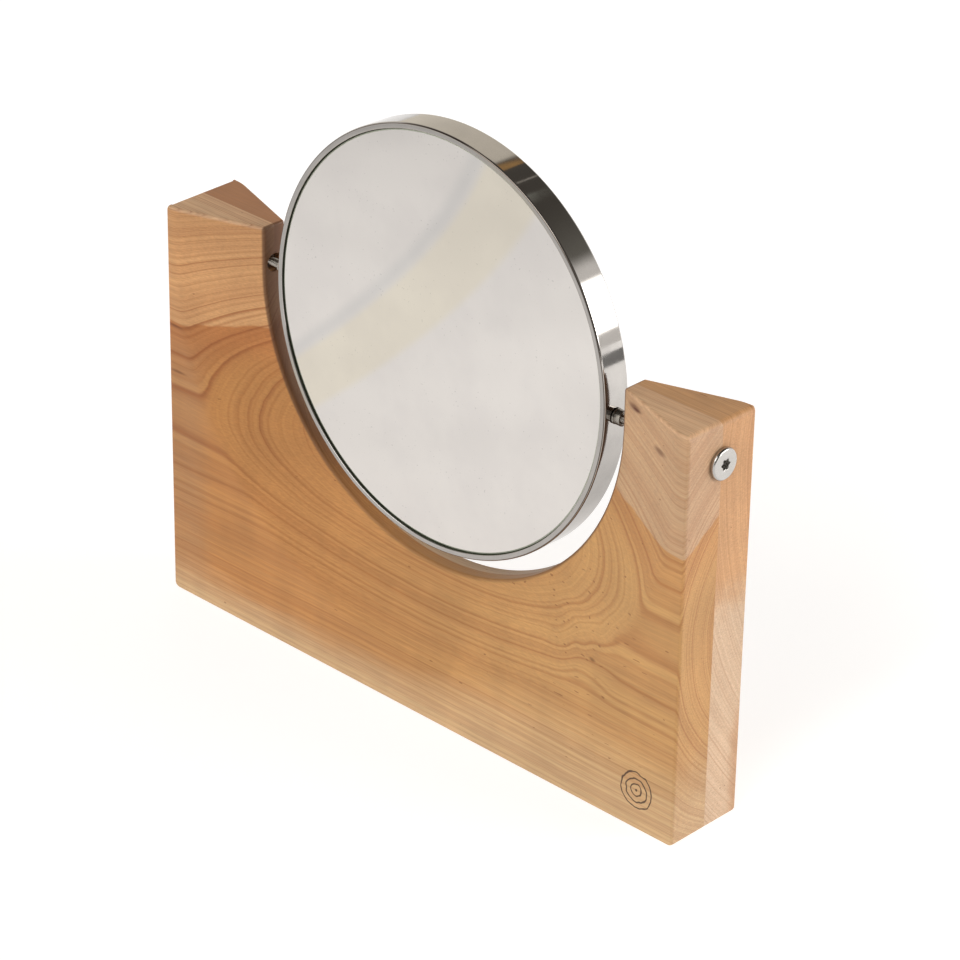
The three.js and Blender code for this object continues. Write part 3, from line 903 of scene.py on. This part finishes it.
def make_spacer(material):
    outer = HEAD_RADIUS - SHEET - RUNNING_GAP
    half = HEAD_DEPTH / 2 - LIP_THICKNESS - GLASS_THICKNESS - 2 * RUNNING_GAP
    soft = 0.3
    profile = (
        arc((SPACER_INNER_RADIUS + soft, soft - half), soft, 180, 270, 4)
        + arc((outer - soft, soft - half), soft, 270, 360, 4)
        + arc((outer - soft, half - soft), soft, 0, 90, 4)
        + arc((SPACER_INNER_RADIUS + soft, half - soft), soft, 90, 180, 4)
    )
    piece = turned(profile, AROUND, closed=True).piece("spacer_ring_fine", [material])
    inside = outer - 8.0
    outside = outer + 5.0
    drill_both_sides(piece, STUD_HOLE_RADIUS, 0.0, inside, outside, SHARP_EDGE_ON_RING)
    hang(piece, "spacer_ring")


def make_pads(material):
    front_pad = -HEAD_DEPTH / 2 + LIP_THICKNESS + GLASS_THICKNESS + 2 * RUNNING_GAP
    rear_pad = front_pad + PAD_THICKNESS + RUNNING_GAP
    round_edge = PAD_THICKNESS / 2
    for node, start in (("front_backing_pad", front_pad), ("rear_backing_pad", rear_pad)):
        rim = arc((PAD_RADIUS - round_edge, start + round_edge), round_edge, 270, 450, 10)
        profile = [(1.0, start)] + rim + [(1.0, start + PAD_THICKNESS)]
        skin = turned(profile, AROUND)
        skin.cap(circle(*profile[0]))
        skin.cap(circle(*profile[-1]))
        hang(skin.piece(f"{node}_fine", [material]), node)


def make_head(steel, nylon, foam):
    silver = mirror_surface()
    edge = glass_edge()
    make_band(steel)
    make_bezel(steel)
    make_front_glass(silver, edge)
    make_rear_glass(silver, edge)
    make_spacer(nylon)
    make_pads(foam)


# ---- pivots

BOLT_SEAT = HALF_WIDTH + 0.1
BOLT_HEAD_RADIUS = 7.5
BOLT_HEAD_HEIGHT = 2.3
SLEEVE_RADIUS = 4.2
SLEEVE_END = OPENING_RADIUS + 4.0
SOCKET_RADIUS = 2.75
SOCKET_DEPTH = 2.6
STUD_RADIUS = 2.0
STUD_TIP_RADIUS = 1.5
STUD_INNER_END = 88.5
STUD_OUTER_END = SLEEVE_END + 14.0
TIP_BORE_RADIUS = 1.8  # of what sits on the stud's tip, inside the head
STACK_GAP = 0.1
WASHER_THICKNESS = 0.8
COLLAR_LENGTH = 3.2
SPRING_THICKNESS = 0.5
SPRING_RISE = 0.4
NUT_ACROSS_FLATS = 5.5
NUT_HEIGHT = 2.4


def ring_rows(rings):
    """Rows of points along X from rings of (x, radius), where radius may depend on the angle."""
    angles = np.linspace(0, 2 * math.pi, SMALL_AROUND, endpoint=False)
    rows = []
    for x, radius in rings:
        radii = [radius(a) if callable(radius) else radius for a in angles]
        rows.append([(x, r * math.cos(a), r * math.sin(a)) for r, a in zip(radii, angles)])
    return rows


def closed_rounds(rings, name, material):
    """A piece whose first and last ring are closed with a flat face."""
    rows = ring_rows(rings)
    skin = Skin()
    skin.grid(rows, wrap_columns=True)
    skin.cap(rows[0])
    skin.cap(rows[-1])
    return skin.piece(name, [material])


def looped_rounds(rings, name, material):
    """A ring-shaped piece: the last ring joins the first."""
    skin = Skin()
    skin.grid(ring_rows(rings), wrap_rows=True, wrap_columns=True)
    return skin.piece(name, [material])


def lobes(scale):
    """Radius of the six-lobe drive at an angle, for a socket this many times full size."""
    def radius(angle):
        wave = 0.5 + 0.5 * math.cos(6 * angle)
        return SOCKET_RADIUS * scale * (0.72 + 0.28 * wave**0.8)
    return radius


def bolt_rings():
    """Rings from the bottom of the stud's hole, round the outside, to the drive's floor."""
    top = BOLT_SEAT + BOLT_HEAD_HEIGHT
    rim = 0.9
    crown = 1.1
    hole_bottom = STUD_OUTER_END + STUD_RADIUS
    rings = [(hole_bottom, STUD_HOLE_RADIUS), (SLEEVE_END + 0.3, STUD_HOLE_RADIUS)]
    rings += [(SLEEVE_END, STUD_HOLE_RADIUS + 0.3), (SLEEVE_END, SLEEVE_RADIUS - 0.4)]
    rings += [(SLEEVE_END + 0.4, SLEEVE_RADIUS), (BOLT_SEAT, SLEEVE_RADIUS)]
    rings += [(BOLT_SEAT, BOLT_HEAD_RADIUS - 0.15), (BOLT_SEAT + 0.15, BOLT_HEAD_RADIUS)]
    rings += [(BOLT_SEAT + rim, BOLT_HEAD_RADIUS)]
    bend = top - BOLT_SEAT - rim
    for turn in np.radians(np.linspace(0, 90, 9))[1:]:
        x = BOLT_SEAT + rim + bend * math.sin(turn)
        rings.append((x, BOLT_HEAD_RADIUS - crown * (1 - math.cos(turn))))
    rings += [(top, 4.0), (top, lobes(1.12)), (top - 0.12, lobes(1.02)), (top - 0.3, lobes(1.0))]
    rings += [(top - SOCKET_DEPTH, lobes(1.0)), (top - SOCKET_DEPTH - 0.3, 0.4)]
    return rings


def add_thread(skin, start, end, radius, depth, pitch):
    """Adds a rod along X with a helical screw thread and chamfered ends."""
    per_turn = 10
    segments = 40
    chamfer = 0.5
    rows = []
    steps = int((end - start) / pitch * per_turn)
    for k in range(steps + 1):
        x = start + (end - start) * k / steps
        from_end = min(x - start, end - x)
        cap = radius - max(0.0, chamfer - from_end)
        row = []
        for s in range(segments):
            angle = 2 * math.pi * s / segments
            phase = (x / pitch - s / segments) % 1.0
            tooth = min(1.0, 1.25 * abs(2 * phase - 1))
            r = min(cap, radius - depth * (1 - tooth))
            row.append((x, r * math.cos(angle), r * math.sin(angle)))
        rows.append(row)
    skin.grid(rows, wrap_columns=True)
    skin.cap(rows[0])
    skin.cap(rows[-1])


def make_stud(name, material):
    skin = Skin()
    add_thread(skin, SPACER_INNER_RADIUS, STUD_OUTER_END, STUD_RADIUS, 0.33, 0.7)
    add_thread(skin, STUD_INNER_END, SPACER_INNER_RADIUS, STUD_TIP_RADIUS, 0.25, 0.5)
    return skin.piece(name, [material], weld=0.0005, sharp=60.0)


def nut_rings(start):
    """Rings of a chamfered hexagon nut, from the bore round the outside and back."""
    flat = NUT_ACROSS_FLATS / 2
    corner = flat / math.cos(math.pi / 6)
    narrow = flat * 0.97
    bore = TIP_BORE_RADIUS
    countersink = 0.3
    end = start + NUT_HEIGHT

    def hexagon(limit):
        def radius(angle):
            from_flat = (angle + math.pi / 6) % (math.pi / 3) - math.pi / 6
            return min(flat / math.cos(from_flat), limit)
        return radius

    steps = 8
    rises = [(corner - narrow) * k / steps for k in range(1, steps + 1)]
    rings = [(start + countersink, bore), (start, bore + countersink), (start, narrow)]
    rings += [(start + 0.5 * rise, hexagon(narrow + rise)) for rise in rises]
    rings += [(end - 0.5 * rise, hexagon(narrow + rise)) for rise in rises[::-1]]
    rings += [(end, narrow), (end, bore + countersink), (end - countersink, bore)]
    return rings


def washer_rings(outer, bore, start, thickness, rise=0.0):
    """Rings of a washer with softened edges. rise makes it a cone, higher at its rim."""
    soft = 0.12
    end = start + thickness
    return [
        (start + soft, bore), (start, bore + soft),
        (start + rise, outer - soft), (start + rise + soft, outer),
        (end + rise - soft, outer), (end + rise, outer - soft),
        (end, bore + soft), (end - soft, bore),
    ]


def make_pivot(side, polished, zinc, spring, nylon):
    turn = Matrix.Rotation(0 if side == "right" else math.pi, 4, "Z")
    place = Matrix.Translation((0, 0, PIVOT_HEIGHT * MM)) @ turn

    def fit(piece, node, slot):
        piece.data.transform(place)
        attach(piece, "stand")
        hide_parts(f"{side}_{node}")

    bolt = closed_rounds(bolt_rings(), f"{side}_sleeve_bolt_fine", polished)
    fit(bolt, "sleeve_bolt", "polished_steel")

    fit(make_stud(f"{side}_pivot_stud_fine", zinc), "pivot_stud", "zinc_steel")

    washer = HEAD_RADIUS + RUNNING_GAP
    collar = washer + WASHER_THICKNESS + STACK_GAP
    friction = SPACER_INNER_RADIUS - RUNNING_GAP - WASHER_THICKNESS
    coil = friction - STACK_GAP - (SPRING_THICKNESS + SPRING_RISE)
    lock = coil - STACK_GAP - NUT_HEIGHT
    outer_bore = STUD_HOLE_RADIUS
    inner_bore = TIP_BORE_RADIUS
    collar_rings = washer_rings(3.5, outer_bore, collar, COLLAR_LENGTH)
    outer_rings = washer_rings(3.7, outer_bore, washer, WASHER_THICKNESS)
    friction_rings = washer_rings(3.5, inner_bore, friction, WASHER_THICKNESS)
    spring_rings = washer_rings(3.3, inner_bore, coil, SPRING_THICKNESS, SPRING_RISE)
    parts = [
        ("shoulder_collar", collar_rings, zinc, "zinc_steel"),
        ("outer_washer", outer_rings, zinc, "zinc_steel"),
        ("friction_washer", friction_rings, nylon, "nylon"),
        ("spring_washer", spring_rings, spring, "spring_steel"),
        ("lock_nut", nut_rings(lock), zinc, "zinc_steel"),
    ]
    for node, rings, material, slot in parts:
        piece = looped_rounds(rings, f"{side}_{node}_fine", material)
        fit(piece, node, slot)


# ---- stage, lights, camera

# Azimuth, elevation, half width and half height in degrees, and radiance of what stands out in
# the studio: two large lamps, a brown door, a thin rail and a small window.
FEATURES = [
    (122, 15, 18, 9, (10.5, 10.4, 10.2)),
    (-3, 41, 25, 14, (4.0, 3.96, 3.88)),
    (199.0, 45.0, 1.8, 2.4, (0.52, 0.31, 0.13)),
    (186.5, 47.8, 0.35, 5.0, (0.4, 0.37, 0.33)),
    (174.5, 47.6, 2.0, 1.5, (0.42, 0.43, 0.38)),
]
WHITE_WALL = (1.1, 1.07, 1.03, 1)
WARM_WALL = (0.93, 0.86, 0.74, 1)
BEHIND_CAMERA = (0.2, 0.19, 0.18, 1)
LOW_CEILING = (0.22, 0.21, 0.185, 1)
HIGH_CEILING = (0.1, 0.09, 0.078, 1)

FLOOR_SIZE = 40
WHITE = (1, 1, 1, 1)
PAPER_DARK = (0.355, 0.37, 0.385, 1)
PAPER_LIGHT = (0.395, 0.41, 0.43, 1)
PAPER_GLOW = (1.0, 0.975, 0.955, 1)
GLOW_STRENGTH = 0.775
CREAM = (1.0, 0.975, 0.88, 1)
STRIP_EDGE = (0.86, 0.875, 0.89, 1)

# A dark rug far behind at the right, by its distance from the object and its half width.
RUG_START = (1500.0, 1560.0)
RUG_END = (3900.0, 4100.0)
RUG_SIDE = (400.0, 600.0)
RUG_LEVEL = 0.15

# A cream strip on the floor, in front at the left: part of a large ring.
STRIP_CENTRE = (-1080.0, -40.0)
STRIP_INSIDE = 792.0
STRIP_OUTSIDE = 836.0
STRIP_SHADE = 787.0


def make_floor():
    """White studio paper that glows, a painted light that keeps shadows on it faint. It is painted
    greyer towards the front left, where a cream strip curves across it, and brighter at the
    right and back right, up to a dark rug; right of the block it is raised where the block's
    shade would fall. The strip shows only in the mirror, and the rug only in the metal."""
    bpy.ops.mesh.primitive_plane_add(size=FLOOR_SIZE)
    floor = bpy.context.object
    floor.name = "floor"
    material, graph, shader = new_material("floor_paper")
    place = position_mm(graph)
    x, y, _ = graph.parts(place)
    forwards_left = graph.product(graph.math("ADD", x, y), -1.0)
    backwards_right = graph.vector("DOT_PRODUCT", place, towards(131, 0))
    from_middle = graph.math("ABSOLUTE", graph.vector("DOT_PRODUCT", place, towards(41, 0)))
    seen = graph.step(forwards_left, 330.0, 420.0)

    from_centre = graph.vector("LENGTH", graph.vector("SUBTRACT", place, (*STRIP_CENTRE, 0.0)))
    strip = graph.product(
        graph.step(from_centre, STRIP_INSIDE - 4, STRIP_INSIDE + 4),
        graph.step(from_centre, STRIP_OUTSIDE - 4, STRIP_OUTSIDE + 4, 1.0, 0.0),
    )
    to_edge = graph.math("ABSOLUTE", graph.math("SUBTRACT", from_centre, STRIP_SHADE))
    edge = graph.step(to_edge, 0.0, 10.0, 0.8, 0.0)
    tint = graph.mix(graph.product(strip, seen), WHITE, CREAM)
    tint = graph.mix(graph.product(edge, seen), tint, STRIP_EDGE)

    clouds = graph.step(graph.noise(place, 0.006, 2.0), 0.3, 0.7, 0.94, 1.02)
    rug = graph.product(
        graph.step(backwards_right, *RUG_START),
        graph.step(backwards_right, *RUG_END, 1.0, 0.0),
        graph.step(from_middle, *RUG_SIDE, 1.0, 0.0),
    )
    # painted light and shade: the paper's brightness, dimmer towards the front left, raised right
    # of the block and at the back right
    level = graph.product(
        graph.step(forwards_left, 500.0, 1150.0, 1.0, 0.78),
        graph.step(x, 120.0, 170.0, 1.0, 1.09),
        graph.math("POWER", clouds, seen),
        graph.step(backwards_right, 190.0, 420.0, 1.0, 1.24),
        graph.step(backwards_right, 400.0, 900.0, 1.0, 1.12),
        graph.step(rug, 0.0, 1.0, 1.0, RUG_LEVEL),
    )
    tint = graph.mix(1.0, tint, graph.join(level, level, level), "MULTIPLY")
    paper = graph.mix(graph.noise(place, 0.004, 2.0), PAPER_DARK, PAPER_LIGHT)
    graph.link(graph.mix(1.0, paper, tint, "MULTIPLY"), shader.inputs["Base Color"])
    shader.inputs["Roughness"].default_value = 0.9
    shader.inputs["Specular IOR Level"].default_value = 0.1
    glow = graph.mix(1.0, tint, PAPER_GLOW, "MULTIPLY")
    graph.link(glow, shader.inputs["Emission Color"])
    shader.inputs["Emission Strength"].default_value = GLOW_STRENGTH
    floor.data.materials.append(material)


def towards(azimuth, elevation):
    """Unit vector to a place in the sky. Azimuth 0 is in front, 90 is at the right."""
    a, e = math.radians(azimuth), math.radians(elevation)
    return Vector((math.sin(a) * math.cos(e), -math.cos(a) * math.cos(e), math.sin(e)))


def patch_of_sky(graph, view, azimuth, elevation, half_width, half_height):
    """How far a direction lies inside an oblong with soft edges: 0 outside, 1 inside."""
    ahead = towards(azimuth, elevation)
    sideways = towards(azimuth + 90, 0)
    upwards = ahead.cross(sideways) * -1
    depth = graph.vector("DOT_PRODUCT", view, ahead)
    inside = graph.step(depth, 0.1, 0.3)
    for axis, half in ((sideways, half_width), (upwards, half_height)):
        offset = graph.math("DIVIDE", graph.vector("DOT_PRODUCT", view, axis), depth)
        edge = math.tan(math.radians(half))
        near = graph.step(graph.math("ABSOLUTE", offset), 0.8 * edge, 1.2 * edge, 1.0, 0.0)
        inside = graph.product(inside, near)
    return inside


def make_world():
    """A white studio that is darker behind the camera and overhead, with one warmer wall, two
    large lamps and a few small things, all far away."""
    world = bpy.data.worlds.new("studio")
    bpy.context.scene.world = world
    world.use_nodes = True
    graph = Graph(world.node_tree)
    view = world.node_tree.nodes.new("ShaderNodeTexCoord").outputs["Generated"]
    sideways, backwards, height = graph.parts(view)
    behind_camera = graph.step(graph.vector("DOT_PRODUCT", view, towards(58, 12)), 0.66, 0.88)
    colour = graph.mix(behind_camera, WHITE_WALL, BEHIND_CAMERA)
    ceiling = graph.mix(graph.step(height, 0.52, 0.74), LOW_CEILING, HIGH_CEILING)
    colour = graph.mix(graph.step(height, 0.46, 0.54), colour, ceiling)
    at_left = graph.step(sideways, -0.3, -0.26, 1.0, 0.0)
    at_back = graph.step(backwards, 0.2, 0.4)
    colour = graph.mix(graph.product(at_left, at_back), colour, WARM_WALL)
    for *oblong, radiance in FEATURES:
        inside = patch_of_sky(graph, view, *oblong)
        colour = graph.mix(inside, colour, (*radiance, 1.0))
    graph.link(colour, world.node_tree.nodes["Background"].inputs["Color"])


def make_camera():
    """The photograph's view: three-quarter from the front right, from above, long lens."""
    azimuth = 43.553
    elevation = 28.477
    roll = math.radians(1.011)
    aim = Vector((0, 0, 0.1))
    distance = 1.8494
    aside = Vector((0.015555, 0.009863))
    back = towards(azimuth, elevation)
    level = towards(azimuth + 90, 0)
    upright = back.cross(level)
    right = level * math.cos(roll) + upright * math.sin(roll)
    up = upright * math.cos(roll) - level * math.sin(roll)
    data = bpy.data.cameras.new("camera")
    data.lens = 155.4
    data.sensor_width = 36.0
    camera = bpy.data.objects.new("camera", data)
    place = Matrix((right, up, back)).transposed().to_4x4()
    place.translation = aim + right * aside.x + up * aside.y + back * distance
    camera.matrix_world = place
    bpy.context.scene.collection.objects.link(camera)
    bpy.context.scene.camera = camera


# ---- whole scene

make_camera()
make_world()
make_floor()
bpy.context.scene.view_settings.view_transform = "Standard"

polished_steel = metal(
    "polished_steel", (0.43, 0.41, 0.39, 1), 0.04, 0.06, 0.05, painted_corner_reflection=True
)
bolt_steel = metal("bolt_steel", (0.47, 0.455, 0.435, 1), 0.18, 0.1, 0.1)
zinc_steel = metal("zinc_steel", (0.40, 0.37, 0.33, 1), 0.14, 0.12, 0.3)
spring_steel = metal("spring_steel", (0.25, 0.25, 0.27, 1), 0.25, 0.15, 0.3)
nylon_white = plastic("nylon", srgb(222, 218, 206), 0.45)
foam_black = plastic("foam", srgb(58, 58, 60), 0.85)

make_block()
make_head(polished_steel, nylon_white, foam_black)
for side in ("right", "left"):
    make_pivot(side, bolt_steel, zinc_steel, spring_steel, nylon_white)
